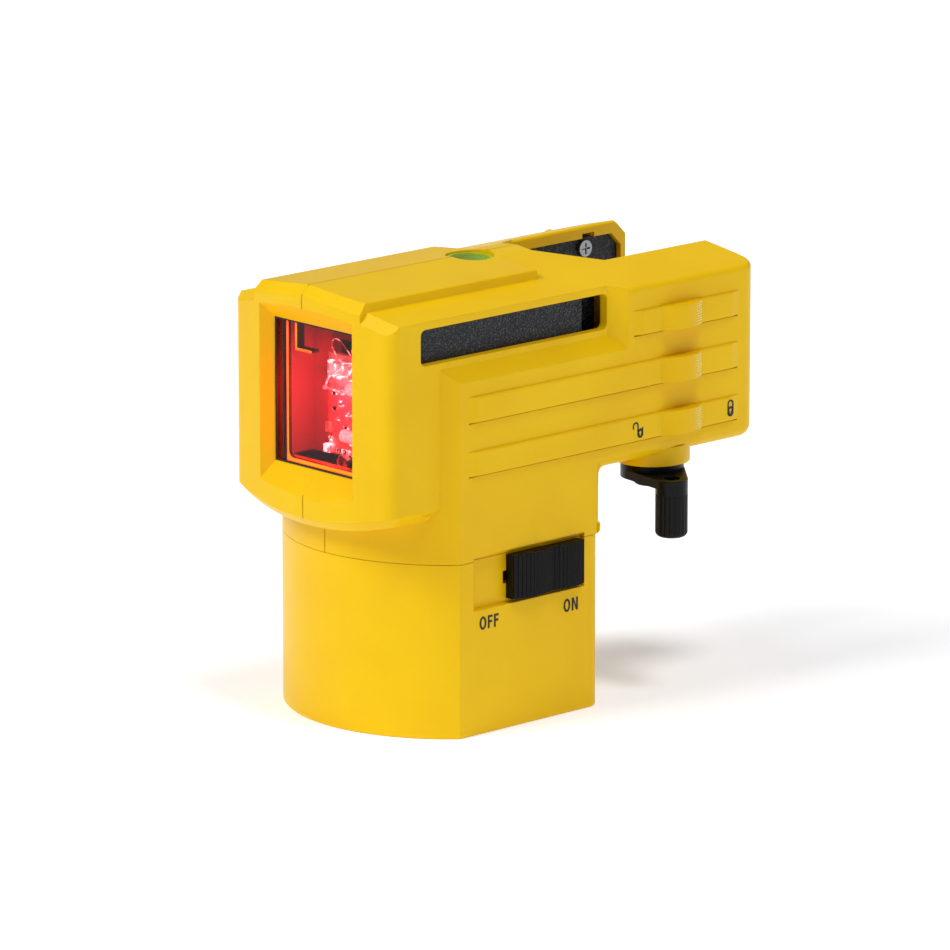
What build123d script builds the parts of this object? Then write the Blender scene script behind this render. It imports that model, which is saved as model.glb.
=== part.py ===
from build123d import *
from math import cos, pi, radians, sin, sqrt
import os

# A self-levelling cross-line laser in a yellow moulded housing. Millimetres, +Z up. The origin is
# on the underside, at the centre of the round front of the base. The laser window faces -Y, the
# power slider is on the +X side, and the fork that grips a pole points along +Y.

# Base and column
base_radius = 37.5
side_x = 29.25
column_back_y = 20.1
upper_back_y = 20.9
seam_z = 40.0
base_wall = 2.0
shell_wall = 2.2
parting_groove = 0.3
side_block_top_z = 81.3
side_block_bevel = 3.4

# Head and roof
head_x = 26.2
head_front_y = -44.0
head_corner_y = -40.9
head_bottom_z = 47.0
head_bottom_rise = 3.9
head_back_y = 24.4
crown_z = 101.8
crown_slope = 0.103
shoulder_z = 98.8
shoulder_slope = 0.258
plateau_x = 17.1
plateau_back_y = 11.2
brow_chamfer = 2.2
head_corner_radius = 3.4

# Front window and side windows
window_x = 13.24
window_low_z = 59.43
window_high_z = 92.22
window_y = -40.15
side_window_y = (-32.4, 24.3)
side_window_z = (85.9, 94.1)
side_window_corner = 1.4

# Fork that grips a pole
slot_x = 14.5
slot_root_x = 5.1
slot_root_y = 20.9
slot_shoulder_y = 33.0
arm_flare_y = 28.2
arm_bottom_z = 54.66
arm_end_y = 69.4
arm_corner_radius = 4.4
arm_rim_radius = 1.4
arm_end_chamfer = 3.6

# Raised bands on the sides, as (low z, high z, front y)
bands = ((59.7, 65.3, -21.4), (71.9, 77.7, -21.4), (84.0, 89.6, 29.4))
band_end_y = 63.3
band_height = 0.6
band_ramp = 3.0
# Shadow groove under each band, as depth and width
band_groove = (0.45, 0.3)
thumb_pad_y = (38.0, 50.9)
thumb_pad_height = 2.3

# Clamp lever and cam
lever_x = 20.6
lever_y = 44.2
lever_boss_radius = 8.65
lever_boss_z = 51.8
lever_hub_radius = 7.25
lever_hub_z = (47.95, 51.4)
lever_reach = 12.8
lever_rest_deg = -24.0
lever_back_deg = -68.0
lever_lock_deg = 112.0
handle_radius = 3.7
handle_z = (36.7, 50.1)
cam_lift_per_radian = 0.6
cam_low_radius = 2.19
cam_z = (57.2, 60.8)
shaft_radius = 1.8

# Power slider and its recess in the side of the base
recess_y = (-19.3, 14.6)
recess_z = (28.7, 41.1)
recess_depth = 1.5
slider_y = (-8.2, 13.7)
slider_z = (29.65, 39.75)
slider_travel = 9.7
stem_y = (1.0, 4.0)
stem_z = (33.3, 35.7)

# Battery bay
cell_radius = 7.2
cell_length = 49.2
cell_z = 11.2
cell_ys = (-16.2, -1.4)
door_y = (-24.2, 11.8)
door_x = 25.9
door_hinge_y = 10.9
door_hinge_z = 1.0

# Screws
housing_screws = ((-30.0, 54.5), (14.0, 68.6), (14.0, 47.0))
base_screws = ((24.4, 15.2), (-24.4, 15.2), (17.0, -28.2), (-17.0, -28.2))
jaw_screws = ((57.2, 93.2), (57.2, 60.6))

# Levelling pendulum. The outer gimbal axis runs along X and the inner one along Y.
gimbal_y = -11.0
gimbal_z = 88.0
gimbal_pin_radius = 1.0
chassis_x = 20.5
laser_z = 76.0
lower_laser_z = 65.0
board_y = (-26.6, -25.2)

# Round spirit level in the roof
vial_y = 6.65
vial_radius = 4.75


def block(x, y, z):
    """A box given by its low and high limits along each axis."""
    size = (x[1] - x[0], y[1] - y[0], z[1] - z[0])
    middle = ((x[0] + x[1]) / 2, (y[0] + y[1]) / 2, (z[0] + z[1]) / 2)
    return Pos(*middle) * Box(*size)


def rod_z(x, y, z, radius):
    return Pos(x, y, (z[0] + z[1]) / 2) * Cylinder(radius, z[1] - z[0])


def rod_x(x, y, z, radius):
    return Pos((x[0] + x[1]) / 2, y, z) * Rot(0, 90, 0) * Cylinder(radius, x[1] - x[0])


def rod_y(x, y, z, radius):
    return Pos(x, (y[0] + y[1]) / 2, z) * Rot(90, 0, 0) * Cylinder(radius, y[1] - y[0])


def prism_z(points, z):
    """A prism along Z from plan points (x, y)."""
    return Pos(0, 0, z[0]) * extrude(make_face(Polyline(*points, close=True)), z[1] - z[0])


def prism_x(points, x):
    """A prism along X from side-view points (y, z)."""
    wire = Polyline(*[(x[0], y, z) for y, z in points], close=True)
    return extrude(make_face(wire), x[1] - x[0], dir=(1, 0, 0))


def prism_y(points, y):
    """A prism along Y from front-view points (x, z)."""
    wire = Polyline(*[(x, y[0], z) for x, z in points], close=True)
    return extrude(make_face(wire), y[1] - y[0], dir=(0, 1, 0))


def mirrored(points):
    """The points, then their mirror images in X in reverse order."""
    return list(points) + [(-x, v) for x, v in reversed(points) if x > 0]


def roof_height(x):
    crown = crown_z - crown_slope * x
    return min(crown, shoulder_z - shoulder_slope * (x - slot_x))


def column_form(inset, z, back_y=column_back_y):
    """The column's plan: a round front, two flat sides and a flat back."""
    radius = base_radius - inset
    x = side_x - inset
    y = -sqrt(radius**2 - x**2)
    back = back_y - inset
    outline = ThreePointArc((-x, y), (0, -radius), (x, y))
    outline += Polyline((x, y), (x, back), (-x, back), (-x, y))
    form = Pos(0, 0, z[0]) * extrude(make_face(outline), z[1] - z[0])
    corners = form.edges().filter_by(Axis.Z).sort_by(Axis.Y)[-2:]
    return fillet(corners, 3.4 - min(inset, 2.6))


def roof_line(inset, half_width):
    """The pitched roof as (x, z) points, from one side over the ridge to the other."""
    ridge_x = (shoulder_z + shoulder_slope * slot_x - crown_z) / (shoulder_slope - crown_slope)
    half = [(half_width - inset, roof_height(half_width)), (ridge_x, roof_height(ridge_x)), (0, crown_z)]
    return [(x, z - inset) for x, z in mirrored(half)]


def roof_band(inset, half_width):
    """The front view of the head: an arched underside and a pitched roof."""
    x = half_width - inset
    low = head_bottom_z + inset
    side = low + head_bottom_rise
    arch = ThreePointArc((-x, 0, side), (0, 0, low), (x, 0, side))
    over = [(x, side)] + roof_line(inset, half_width) + [(-x, side)]
    return make_face(arch + Polyline(*[(u, 0, v) for u, v in over]))


def head_form(inset):
    """The head: a bowed front and flat sides, under the pitched roof."""
    x = head_x - inset
    front = ThreePointArc((-x, head_corner_y + inset), (0, head_front_y + inset), (x, head_corner_y + inset))
    back = Polyline((x, head_corner_y + inset), (x, head_back_y), (-x, head_back_y), (-x, head_corner_y + inset))
    plan = Pos(0, 0, 30) * extrude(make_face(front + back), 90)
    section = Pos(0, -60, 0) * extrude(roof_band(inset, head_x), 100, dir=(0, 1, 0))
    behind_column = block((-40, 40), (12, 40), (20, arm_bottom_z + inset))
    return (plan & section) - behind_column


def arms_form(inset):
    """The two arms of the fork, joined in front of the pole slot."""
    x = side_x - inset
    low = arm_bottom_z + inset
    end = arm_end_y - inset
    top = crown_z + 5
    chamfer_z = roof_height(slot_x) - arm_end_chamfer - inset
    profile = [(8, low), (end, low), (end, chamfer_z), (end - arm_end_chamfer - 5, chamfer_z + arm_end_chamfer + 5)]
    profile += [(end - arm_end_chamfer - 5, top), (8, top)]
    sides = prism_x(profile, (-x, x))
    roof = [(-x, 30), (x, 30)] + roof_line(inset, side_x)
    flare = [(x, arm_flare_y), (x, 80), (-x, 80), (-x, arm_flare_y), (-head_x + inset, head_back_y - 0.1)]
    flare += [(-head_x + inset, 8), (head_x - inset, 8), (head_x - inset, head_back_y - 0.1)]
    upper = prism_z(flare, (low, top))
    lower = prism_y(side_block_section(inset), (8, 80)) & block((-x, x), (8, 80), (low, 90))
    return sides & prism_y(roof, (0, 90)) & (upper + lower)


def slot_form(grow):
    """The pole slot: a shallow vee at its root and straight sides, open at the back."""
    x = slot_x + grow
    root = slot_root_y - grow
    half = [(x, arm_end_y + 20), (x, slot_shoulder_y - 0.4 * grow), (slot_root_x + 0.4 * grow, root)]
    return prism_z(mirrored(half), (20, crown_z + 20))


def side_block_section(inset):
    """The front view of the side blocks, bevelled where they meet the narrower head."""
    x = side_x - inset
    top = side_block_top_z - inset
    return mirrored([(x, 30), (x, top), (x - side_block_bevel, top + side_block_bevel)])


def side_block_form(inset):
    """The column's upper part, between the side blocks."""
    column = column_form(inset, (seam_z, 90), upper_back_y)
    return column & prism_y(side_block_section(inset), (-50, 60))


def upper_form(inset):
    form = head_form(inset) + side_block_form(inset) + arms_form(inset)
    return form - slot_form(inset)


def plateau():
    """The raised middle of the roof, stepped down to the shoulders."""
    foot = plateau_x + 0.5
    section = [(foot, roof_height(foot) - 3), (foot, roof_height(foot)), (plateau_x, crown_z - crown_slope * plateau_x)]
    section += [(0, crown_z)]
    bar = prism_y(mirrored(section), (-50, plateau_back_y))
    front = ThreePointArc((-head_x, head_corner_y), (0, head_front_y), (head_x, head_corner_y))
    back = Polyline((head_x, head_corner_y), (head_x, 40), (-head_x, 40), (-head_x, head_corner_y))
    bar &= extrude(make_face(front + back), 120)
    brow = edges_where(bar, lambda c, n: c.Y < -43 and c.Z > 100 and n > 10)
    bar = chamfer(brow, brow_chamfer)
    return fillet(edges_where(bar, lambda c, n: abs(abs(c.X) - plateau_x) < 0.2 and n > 30), 0.5)


def edges_where(form, test):
    """The edges whose middle point and length pass the test."""
    return [edge for edge in form.edges() if test(edge.center(), edge.length)]


def outer_upper():
    """The outside of the two half shells as one body, with its edges softened."""
    form = upper_form(0)
    brow = edges_where(form, lambda c, n: c.Y < -40.3 and c.Z > 95 and n > 4)
    form = chamfer(brow, brow_chamfer)
    head_corners = edges_where(form, lambda c, n: abs(c.Y - head_corner_y) < 0.2 and abs(c.X) > 26 and n > 20)
    form = fillet(head_corners, head_corner_radius)
    form += plateau()
    brow_seams = edges_where(form, lambda c, n: c.Y < -43 and c.Z > 94 and n > 10)
    form = fillet(brow_seams, 0.8)
    chin = edges_where(form, lambda c, n: c.Y < -40.5 and c.Z < 53 and n > 3)
    form = chamfer(chin, 2.0)
    arm_ends = edges_where(form, lambda c, n: c.Y > arm_end_y - 0.2 and abs(c.X) > 29 and n > 20)
    form = fillet(arm_ends, arm_corner_radius)
    arm_heels = edges_where(form, lambda c, n: c.Y > arm_end_y - 0.3 and abs(c.Z - arm_bottom_z) < 0.2)
    form = fillet(arm_heels, 3.0)
    elbows = edges_where(form, lambda c, n: abs(c.Y - upper_back_y) < 0.2 and abs(c.Z - arm_bottom_z) < 0.2 and n > 20)
    form = fillet(elbows, 2.4)
    slot_rims = edges_where(form, lambda c, n: abs(abs(c.X) - slot_x) < 0.1 and c.Z > 97 and n > 20)
    form = fillet(slot_rims, 0.8)
    arm_rims = edges_where(form, lambda c, n: abs(abs(c.X) - side_x) < 0.2 and c.Z > 94 and n > 20)
    return fillet(arm_rims, arm_rim_radius)


def side_bands():
    """The raised bands on both sides, each with a convex thumb pad."""
    pad_middle = (thumb_pad_y[0] + thumb_pad_y[1]) / 2
    half_chord = (thumb_pad_y[1] - thumb_pad_y[0]) / 2
    pad_radius = (half_chord**2 + thumb_pad_height**2) / (2 * thumb_pad_height)
    shapes = []
    for low, high, front in bands:
        crest = side_x + band_height
        outline = [(side_x - 1, front), (side_x - 0.05, front), (crest, front + band_ramp)]
        outline += [(crest, band_end_y - band_ramp), (side_x - 0.05, band_end_y), (side_x - 1, band_end_y)]
        band = prism_z(outline, (low, high))
        top_edges = edges_where(band, lambda c, n: c.X > crest - 0.1 and n > 10 and c.Z > high - 0.1)
        band = chamfer(top_edges, 0.3)
        barrel = rod_z(side_x + band_height + thumb_pad_height - pad_radius, pad_middle, (low, high), pad_radius)
        pad = barrel & block((side_x - 1, side_x + 5), (pad_middle - 9, pad_middle + 9), (low, high))
        shapes += [band, pad]
    right = Part() + shapes
    return right + mirror(right, Plane.YZ)


def band_grooves():
    """The fine shadow groove that runs along under each raised band."""
    depth, width = band_groove
    cuts = Part()
    for low, high, front in bands:
        cuts += block((side_x - depth, side_x + 1), (front + 0.6, band_end_y - 0.6), (low - width, low))
    return cuts + mirror(cuts, Plane.YZ)


def seam_lip():
    """A low bead round the back of the housing, just above the seam with the base."""
    bead = column_form(-0.5, (seam_z + 0.1, seam_z + 2.6), upper_back_y)
    rims = edges_where(bead, lambda c, n: c.Z > seam_z + 2.5 or c.Z < seam_z + 0.2)
    bead = chamfer(rims, 0.5)
    return bead & block((-40, 40), (19.0, 40), (seam_z, seam_z + 5))


def window_opening():
    """The front opening, which flares from the pane out to the face of the head."""
    pane = make_face(
        Polyline(*[(x, window_y, z) for x, z in [
            (-window_x, window_low_z), (window_x, window_low_z), (window_x, window_high_z), (-window_x, window_high_z)
        ]], close=True))
    mouth = make_face(
        Polyline(*[(x, window_y - 6, z) for x, z in [
            (-window_x - 4.5, window_low_z - 8.8), (window_x + 4.5, window_low_z - 8.8),
            (window_x + 4.5, window_high_z + 6.9), (-window_x - 4.5, window_high_z + 6.9)
        ]], close=True))
    flare = loft([pane, mouth])
    throat = block((-window_x, window_x), (window_y - 1, window_y + 4), (window_low_z, window_high_z))
    corners = edges_where(throat, lambda c, n: n < 5.1 and n > 4.9)
    return flare + fillet(corners, 1.0)


def window_surround():
    """The thick wall and the rim inside the head that hold the pane."""
    outer = block((-17.6, 17.6), (-43.5, -38.0), (55.0, 96.6))
    pocket = block((-15.3, 15.3), (window_y, -37), (57.2, 94.4))
    return outer - pocket


def side_window(side):
    cut = block((20, 32), side_window_y, side_window_z)
    corners = edges_where(cut, lambda c, n: 11.9 < n < 12.1)
    cut = fillet(corners, side_window_corner)
    return cut if side > 0 else mirror(cut, Plane.YZ)


def screw_tower(side, y, z):
    """A boss for one of the cross screws that draw the half shells together."""
    if side < 0:
        return rod_x((-28.0, -0.1), y, z, 3.4)
    return rod_x((0.1, 28.0), y, z, 3.0)


def screw_bore(side, y, z):
    """The left half has a through hole with a deep counterbore, the right half a pilot hole."""
    if side < 0:
        return rod_x((-31, 1), y, z, 1.4) + rod_x((-31, -14), y, z, 2.7)
    return rod_x((-1, 13), y, z, 1.15)


def lever_boss(side):
    if side < 0:
        return Part()
    boss = rod_z(lever_x, lever_y, (lever_boss_z, arm_bottom_z + 1.5), lever_boss_radius)
    return boss & block((slot_x, side_x), (30, 60), (50, 60))


def upper_shell(side):
    """One half of the upper housing: side -1 is the left half, +1 the right half."""
    outer = outer_upper() + lever_boss(side) + side_bands() + seam_lip() - band_grooves()
    half_space = block((0, 60), (-80, 100), (30, 120)) if side > 0 else block((-60, 0), (-80, 100), (30, 120))
    inner = upper_form(shell_wall) + column_form(shell_wall, (seam_z - 5, 60), upper_back_y)
    inside = window_surround()
    for y, z in housing_screws:
        inside += screw_tower(side, y, z)
    for x, y in base_screws:
        inside += rod_z(x, y, (seam_z + 0.1, seam_z + 10), 2.8)
    shell = (outer - inner) + (inside & upper_form(0.6))
    shell -= window_opening() + side_window(1) + side_window(-1)
    shell -= rod_z(0, vial_y, (90, 110), vial_radius + 0.8)
    for y, z in housing_screws:
        shell -= screw_bore(side, y, z)
    for x, y in base_screws:
        shell -= rod_z(x, y, (seam_z - 1, seam_z + 8), 1.15)
    shell &= half_space
    shell -= block((-parting_groove / 2, parting_groove / 2), (-80, 100), (30, 120)) - upper_form(parting_groove)
    shell -= block((-60, 60), (-80, 80), (20, seam_z + 0.1))
    return shell - fork_cuts(side)


def fork_cuts(side):
    """What is cut out of one arm: the jaw openings, the lever's bearing and the slider recess."""
    if side < 0:
        panel = prism_x(jaw_panel_outline(0.1), (-18, slot_x * -1 + 1))
        notch = block((-18, -slot_x + 1), (55.6, 59.4), (95.0, 96.9))
        return panel + notch
    cut = block((14, 18), (38.2, 61.8), (57.05, 91.85))
    cut += rod_z(lever_x, lever_y, (50, 58), 3.25)
    cut += recess_cut()
    return cut


def jaw_panel_outline(grow):
    """The side view of the fixed jaw's panel, with its clipped upper corner."""
    low = 57.8 - grow
    high = 95.7 + grow
    front = 36.0 - grow
    end = 67.8 + grow
    return [(front, low), (end, low), (end, high - 3.0), (end - 3.0, high), (front, high)]


def recess_cut():
    cut = block((side_x - recess_depth, side_x + 3), recess_y, recess_z)
    slot = block((20, side_x), (stem_y[0] - slider_travel - 0.4, stem_y[1] + 0.3), (stem_z[0] - 0.3, stem_z[1] + 0.3))
    return cut + slot


def left_half_shell():
    shell = upper_shell(-1)
    for y, z in jaw_screws:
        shell += rod_x((-27.5, -17.2), y, z, 2.6) - rod_x((-23, -16), y, z, 0.95)
    tab = block((-16.9, -slot_x - 0.1), (60.0, 61.4), (95.9, 96.6))
    return shell + tab


def right_half_shell():
    shell = upper_shell(1)
    for y in (41.0, 59.0):
        shell += rod_x((21.4, 27.4), y, 80.0, 2.4) - rod_x((20, 26), y, 80.0, 1.27)
    return shell


def base_cup():
    """The battery housing: a D-shaped cup whose floor has the battery opening."""
    form = column_form(0, (0, seam_z))
    foot = edges_where(form, lambda c, n: c.Z < 0.1)
    form = chamfer(foot, 0.4)
    cavity = column_form(base_wall, (2.2, seam_z + 1))
    bosses = Part()
    for x, y in base_screws:
        bosses += rod_z(x, y, (1, seam_z), 2.6)
    thick_wall = block((25.4, 28.0), (-21, 11.8), (26, seam_z))
    cup = form - cavity + ((bosses + thick_wall) & column_form(0.5, (0, seam_z)))
    cup -= block((-door_x - 0.3, door_x + 0.3), (door_y[0] - 0.3, door_y[1] + 0.3), (-1, 4))
    cup -= rod_x((-27.4, 27.4), door_hinge_y, door_hinge_z, 0.55)
    cup -= recess_cut()
    for x, y in base_screws:
        cup -= rod_z(x, y, (-1, 50), 1.4) + rod_z(x, y, (-1, 8), 2.5)
    return cup


def battery_door():
    """The lid in the underside. Its back edge turns on the hinge pin."""
    low, high = 0.0, 2.0
    plate = block((-door_x, door_x), (door_y[0], door_hinge_y), (low, high))
    knuckle = rod_x((-door_x, door_x), door_hinge_y, door_hinge_z, 1.0)
    finger_notch = block((-6, 6), (door_y[0] - 1, door_y[0] + 1.6), (low - 1, high - 0.9))
    ribs = Part()
    for x in (-18, -6, 6, 18):
        ribs += block((x - 0.5, x + 0.5), (-20, 6), (high, high + 0.9))
    return plate + knuckle + ribs - finger_notch - rod_x((-30, 30), door_hinge_y, door_hinge_z, 0.55)


def battery_cell(y, side):
    """A cell lying along X with its positive end towards the given side."""
    body = rod_x((-cell_length / 2, cell_length / 2), y, cell_z, cell_radius)
    rims = edges_where(body, lambda c, n: n > 20 and abs(c.X) > 20)
    body = fillet(rims, 0.8)
    nub = rod_x((cell_length / 2 - 0.5, cell_length / 2 + 1.2), y, cell_z, 2.7)
    return body + (nub if side > 0 else mirror(nub, Plane.YZ))


def battery_springs():
    """A flat three-turn spring against each cell's negative end."""
    coils = []
    for y, side in ((cell_ys[0], -1), (cell_ys[1], 1)):
        for turn in range(3):
            x = side * (cell_length / 2 + 0.35 + 0.55 * turn)
            coils.append(Pos(x, y, cell_z) * Rot(0, 90, 0) * Torus(2.4 + 0.9 * turn, 0.25))
    return Compound(coils)


def battery_contacts():
    plates = []
    for side in (-1, 1):
        for y in cell_ys:
            x = sorted((side * 26.75, side * 27.05))
            plates.append(block(x, (y - 5, y + 5), (cell_z - 5, cell_z + 5)))
    return Compound(plates)


def battery_cradle():
    """The black tray over the cells, with a round seat for each."""
    tray = block((-23.5, 23.5), (-23.6, 6.2), (13.5, 21.0))
    for y in cell_ys:
        tray -= rod_x((-30, 30), y, cell_z, cell_radius + 0.2)
    return tray


def base_screw_set():
    """Four pan-head screws up through the cup into the half shells."""
    screws = []
    for x, y in base_screws:
        shank = rod_z(x, y, (7.0, seam_z + 7), 1.1)
        screws.append(shank + rod_z(x, y, (5.9, 7.9), 2.3))
    return Compound(screws)


def housing_screw_set():
    """The cross screws through the left half into the right half."""
    screws = []
    for y, z in housing_screws:
        screws.append(rod_x((-15.0, 11.0), y, z, 1.1) + rod_x((-15.9, -14.1), y, z, 2.5))
    return Compound(screws)


def door_hinge_pin():
    return rod_x((-27.2, 27.2), door_hinge_y, door_hinge_z, 0.5)


def front_window():
    return block((-15.0, 15.0), (-39.6, -38.4), (57.5, 94.1))


def window_gasket():
    ring = block((-15.1, 15.1), (window_y + 0.05, -39.65), (57.4, 94.2))
    return ring - block((-12.9, 12.9), (-42, -38), (59.8, 91.85))


def window_frame():
    """The inner frame behind the pane: a short tunnel that ends in a narrow flange."""
    tunnel = block((-17.4, 17.4), (-37.9, -35.0), (56.4, 96.2))
    tunnel -= block((-15.0, 15.0), (-39, -35.9), (58.5, 94.6))
    opening = block((-13.6, 13.6), (-37, -30), (59.3, 93.4))
    corners = edges_where(opening, lambda c, n: 6.9 < n < 7.1)
    return (tunnel - fillet(corners, 1.6)) & upper_form(2.6)


def vial_body():
    cup = rod_z(0, vial_y, (94.0, 100.9), vial_radius + 0.65)
    return cup - rod_z(0, vial_y, (95.2, 101), vial_radius - 0.3)


def vial_fluid():
    return rod_z(0, vial_y, (95.3, 99.3), vial_radius - 0.4)


def vial_lens():
    """The clear cap over the fluid, with a gently domed top."""
    dome = Pos(0, vial_y, 101.1 - 40) * Sphere(40)
    return rod_z(0, vial_y, (99.4, 102), vial_radius - 0.4) & dome


def side_panel(side):
    """The grained plate behind one side window, stepped inwards behind its rear end."""
    panel = block((22.5, 23.85), (-34.5, 18.7), (84.2, 93.4))
    panel += block((18.0, 23.85), (17.5, 18.7), (84.2, 93.4))
    panel += block((18.0, 19.2), (17.5, 27.0), (84.2, 93.4))
    return panel if side > 0 else mirror(panel, Plane.YZ)


def power_slider():
    """The slider's ribbed cap: two finger humps and a valley, on a stem through the wall."""
    face = side_x - recess_depth + 0.1
    length = slider_y[1] - slider_y[0]
    outline = [(face, slider_y[0]), (face, slider_y[1])]
    steps = 42
    for step in range(steps + 1):
        t = 1 - step / steps
        swell = 1.25 * sin(pi * min(t / 0.56, 1.0)) if t < 0.56 else 1.0 * sin(pi * (t - 0.56) / 0.44)
        rib = 0.2 * cos(pi * step)
        outline.append((side_x + 0.75 + swell + rib, slider_y[0] + t * length))
    cap = prism_z(outline, slider_z)
    stem = block((25.3, face + 0.2), stem_y, stem_z)
    return cap + stem


def switch_carriage():
    """The plate that the slider's stem moves along inside the base."""
    plate = block((21.6, 25.2), (-2.0, 8.0), (31.0, 38.2))
    finger = block((21.6, 23.8), (1.5, 5.5), (38.0, 58.2))
    return plate + finger + block((2.0, 23.8), (1.5, 5.5), (56.4, 58.2))


def switch_board():
    return block((-12, 19.0), (-8.0, 10.0), (42.0, 43.2))


def micro_switch():
    """The small switch on the board, next to the carriage's finger."""
    body = block((12.0, 18.6), (-3.0, 6.5), (43.25, 47.6))
    return body + block((18.6, 20.4), (0.2, 3.2), (44.2, 46.4))


def chassis():
    """The fixed frame that carries the gimbal: two side plates and a top plate."""
    plates = block((-chassis_x, chassis_x), (-20, -0.2), (62, 94.0)) - block((-19, 19), (-21, 1), (61, 92.6))
    plates -= block((-30, 30), (-15, -5), (66, 80))
    ears = block((-23.7, 23.7), (-16, -4), (63, 66)) - block((-19, 19), (-17, -3), (60, 70))
    pins = rod_x((-30, 30), gimbal_y, gimbal_z, gimbal_pin_radius + 0.02)
    return plates + ears - pins


def gimbal_ring():
    ring = block((-16.6, 16.6), (gimbal_y - 8, gimbal_y + 8), (86.0, 90.0))
    ring -= block((-13.4, 13.4), (gimbal_y - 6, gimbal_y + 6), (80, 95))
    ring -= rod_x((-18, 18), gimbal_y, gimbal_z, 1.65)
    return ring - rod_y(0, (gimbal_y - 9, gimbal_y + 9), gimbal_z, gimbal_pin_radius + 0.02)


def outer_gimbal_pins():
    pins = [rod_x((12.9, 20.45), gimbal_y, gimbal_z, gimbal_pin_radius)]
    pins.append(mirror(pins[0], Plane.YZ))
    return Compound(pins)


def outer_gimbal_bushes():
    """Flanged brass bushes in the ring, running on the outer pins."""
    hole = rod_x((10, 20), gimbal_y, gimbal_z, gimbal_pin_radius + 0.06)
    bush = rod_x((13.3, 16.7), gimbal_y, gimbal_z, 1.6) + rod_x((16.7, 17.3), gimbal_y, gimbal_z, 2.3)
    bush -= hole
    return Compound([bush, mirror(bush, Plane.YZ)])


def inner_gimbal_pins():
    front = rod_y(0, (gimbal_y - 7.9, gimbal_y - 2.6), gimbal_z, gimbal_pin_radius)
    back = rod_y(0, (gimbal_y + 2.6, gimbal_y + 7.9), gimbal_z, gimbal_pin_radius)
    return Compound([front, back])


def pendulum_carrier():
    """The hanging block: a hub inside the ring, a stem and a platform for the lasers."""
    hub = block((-4, 4), (gimbal_y - 5, gimbal_y + 5), (84.5, 90.5))
    hub -= rod_y(0, (gimbal_y - 9, gimbal_y - 2), gimbal_z, 1.65) + rod_y(0, (gimbal_y + 2, gimbal_y + 9), gimbal_z, 1.65)
    stem = block((-3, 3), (gimbal_y - 3, gimbal_y + 3), (80.5, 85))
    platform = block((-8.5, 8.5), (-17.5, -5.5), (60.5, 81.0))
    for z in (laser_z, lower_laser_z):
        platform -= rod_y(0, (-30, 0), z, 4.05)
    return hub + stem + platform


def inner_gimbal_bushes():
    bush = rod_y(0, (gimbal_y - 5.4, gimbal_y - 2.4), gimbal_z, 1.6)
    bush -= rod_y(0, (gimbal_y - 9, gimbal_y), gimbal_z, gimbal_pin_radius + 0.06)
    other = Pos(0, 2 * gimbal_y, 0) * mirror(bush, Plane.XZ)
    return Compound([bush, other])


def laser_barrel(z):
    """A brass laser module: a barrel with a stepped nose and a small bore for the beam."""
    barrel = rod_y(0, (-24.6, -5.0), z, 4.0) + rod_y(0, (-27.6, -24.6), z, 2.6)
    return barrel - rod_y(0, (-29, -26), z, 1.6)


def line_lens(z):
    """The glass rod that spreads the beam into a line."""
    if z == laser_z:
        return Pos(0, -29.3, z) * Sphere(1.65)
    return rod_x((-2.6, 2.6), -29.3, z, 1.5)


def laser_board():
    board = block((-10.5, 10.5), board_y, (59.5, 82.5))
    for z in (laser_z, lower_laser_z):
        board -= rod_y(0, (-30, -20), z, 2.75)
    return board


def pendulum_weight():
    """The brass weight under the platform."""
    return block((-11.7, 11.7), (-4.9, -1.6), (61.0, 76.0))


def damper_fin():
    """The copper fin that swings next to the magnets and calms the pendulum."""
    return block((-7.0, 7.0), (-1.5, -0.5), (62.0, 76.0))


def damper_magnets():
    return Compound([rod_y(x, (3.0, 5.4), 69.0, 3.6) for x in (-4.2, 4.2)])


def magnet_bracket():
    plate = block((-12.0, 12.0), (5.5, 7.0), (60.0, 78.0))
    foot = block((-12.0, 12.0), (5.5, 12.2), (58.8, 60.0))
    return plate + foot


def baffle():
    """The pale plate behind the window, with an opening for the lasers and a wing on each side."""
    plate = block((-22.2, 22.2), (-34.0, -20.6), (57.5, 93.0))
    plate -= block((-21.0, 21.0), (-35.0, -21.9), (57.0, 94.0))
    return (plate - block((-11.5, 11.5), (-30, -10), (50, 84.5))) & upper_form(2.8)


def main_board():
    return block((-20, 20), (12.5, 13.9), (51.0, 64.8))


def board_capacitor():
    can = rod_y(-10, (8.2, 12.4), 54.5, 2.0)
    return can


def fixed_jaw_panel():
    """The grained pad let into the left arm, where the pole bears."""
    panel = prism_x(jaw_panel_outline(0), (-17.1, -15.8))
    for y, z in jaw_screws:
        panel -= rod_x((-20, -10), y, z, 1.1)
    return panel


def jaw_screw_set():
    screws = []
    for y, z in jaw_screws:
        head = rod_x((-15.75, -14.95), y, z, 1.95)
        cross = block((-15.4, -14), (y - 1.3, y + 1.3), (z - 0.22, z + 0.22))
        cross += block((-15.4, -14), (y - 0.22, y + 0.22), (z - 1.3, z + 1.3))
        screws.append(head - cross + rod_x((-22.5, -15.7), y, z, 0.9))
    return Compound(screws)


def moving_jaw():
    """The jaw slides across the right arm. The cam turns behind its lower edge."""
    cam_rest_radius = cam_low_radius + cam_lift_per_radian * radians(lever_rest_swing())
    foot = block((15.2, lever_x - cam_rest_radius - 0.2), (38.4, 61.6), (57.25, 62))
    body = block((15.2, 19.4), (38.4, 61.6), (61.5, 91.65))
    body -= block((17.2, 20), (45, 55), (64, 89))
    for y in (41.0, 59.0):
        body -= rod_x((16.6, 20), y, 80.0, 1.35)
    return foot + body


def lever_rest_swing():
    """How far the cam has turned from its low point when the lever is at rest, in degrees."""
    return -lever_back_deg


def moving_jaw_pad():
    return block((14.0, 15.1), (39.4, 60.6), (58.2, 90.7))


def jaw_guide_pins():
    return Compound([rod_x((17.6, 25.9), y, 80.0, 1.25) for y in (41.0, 59.0)])


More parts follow.
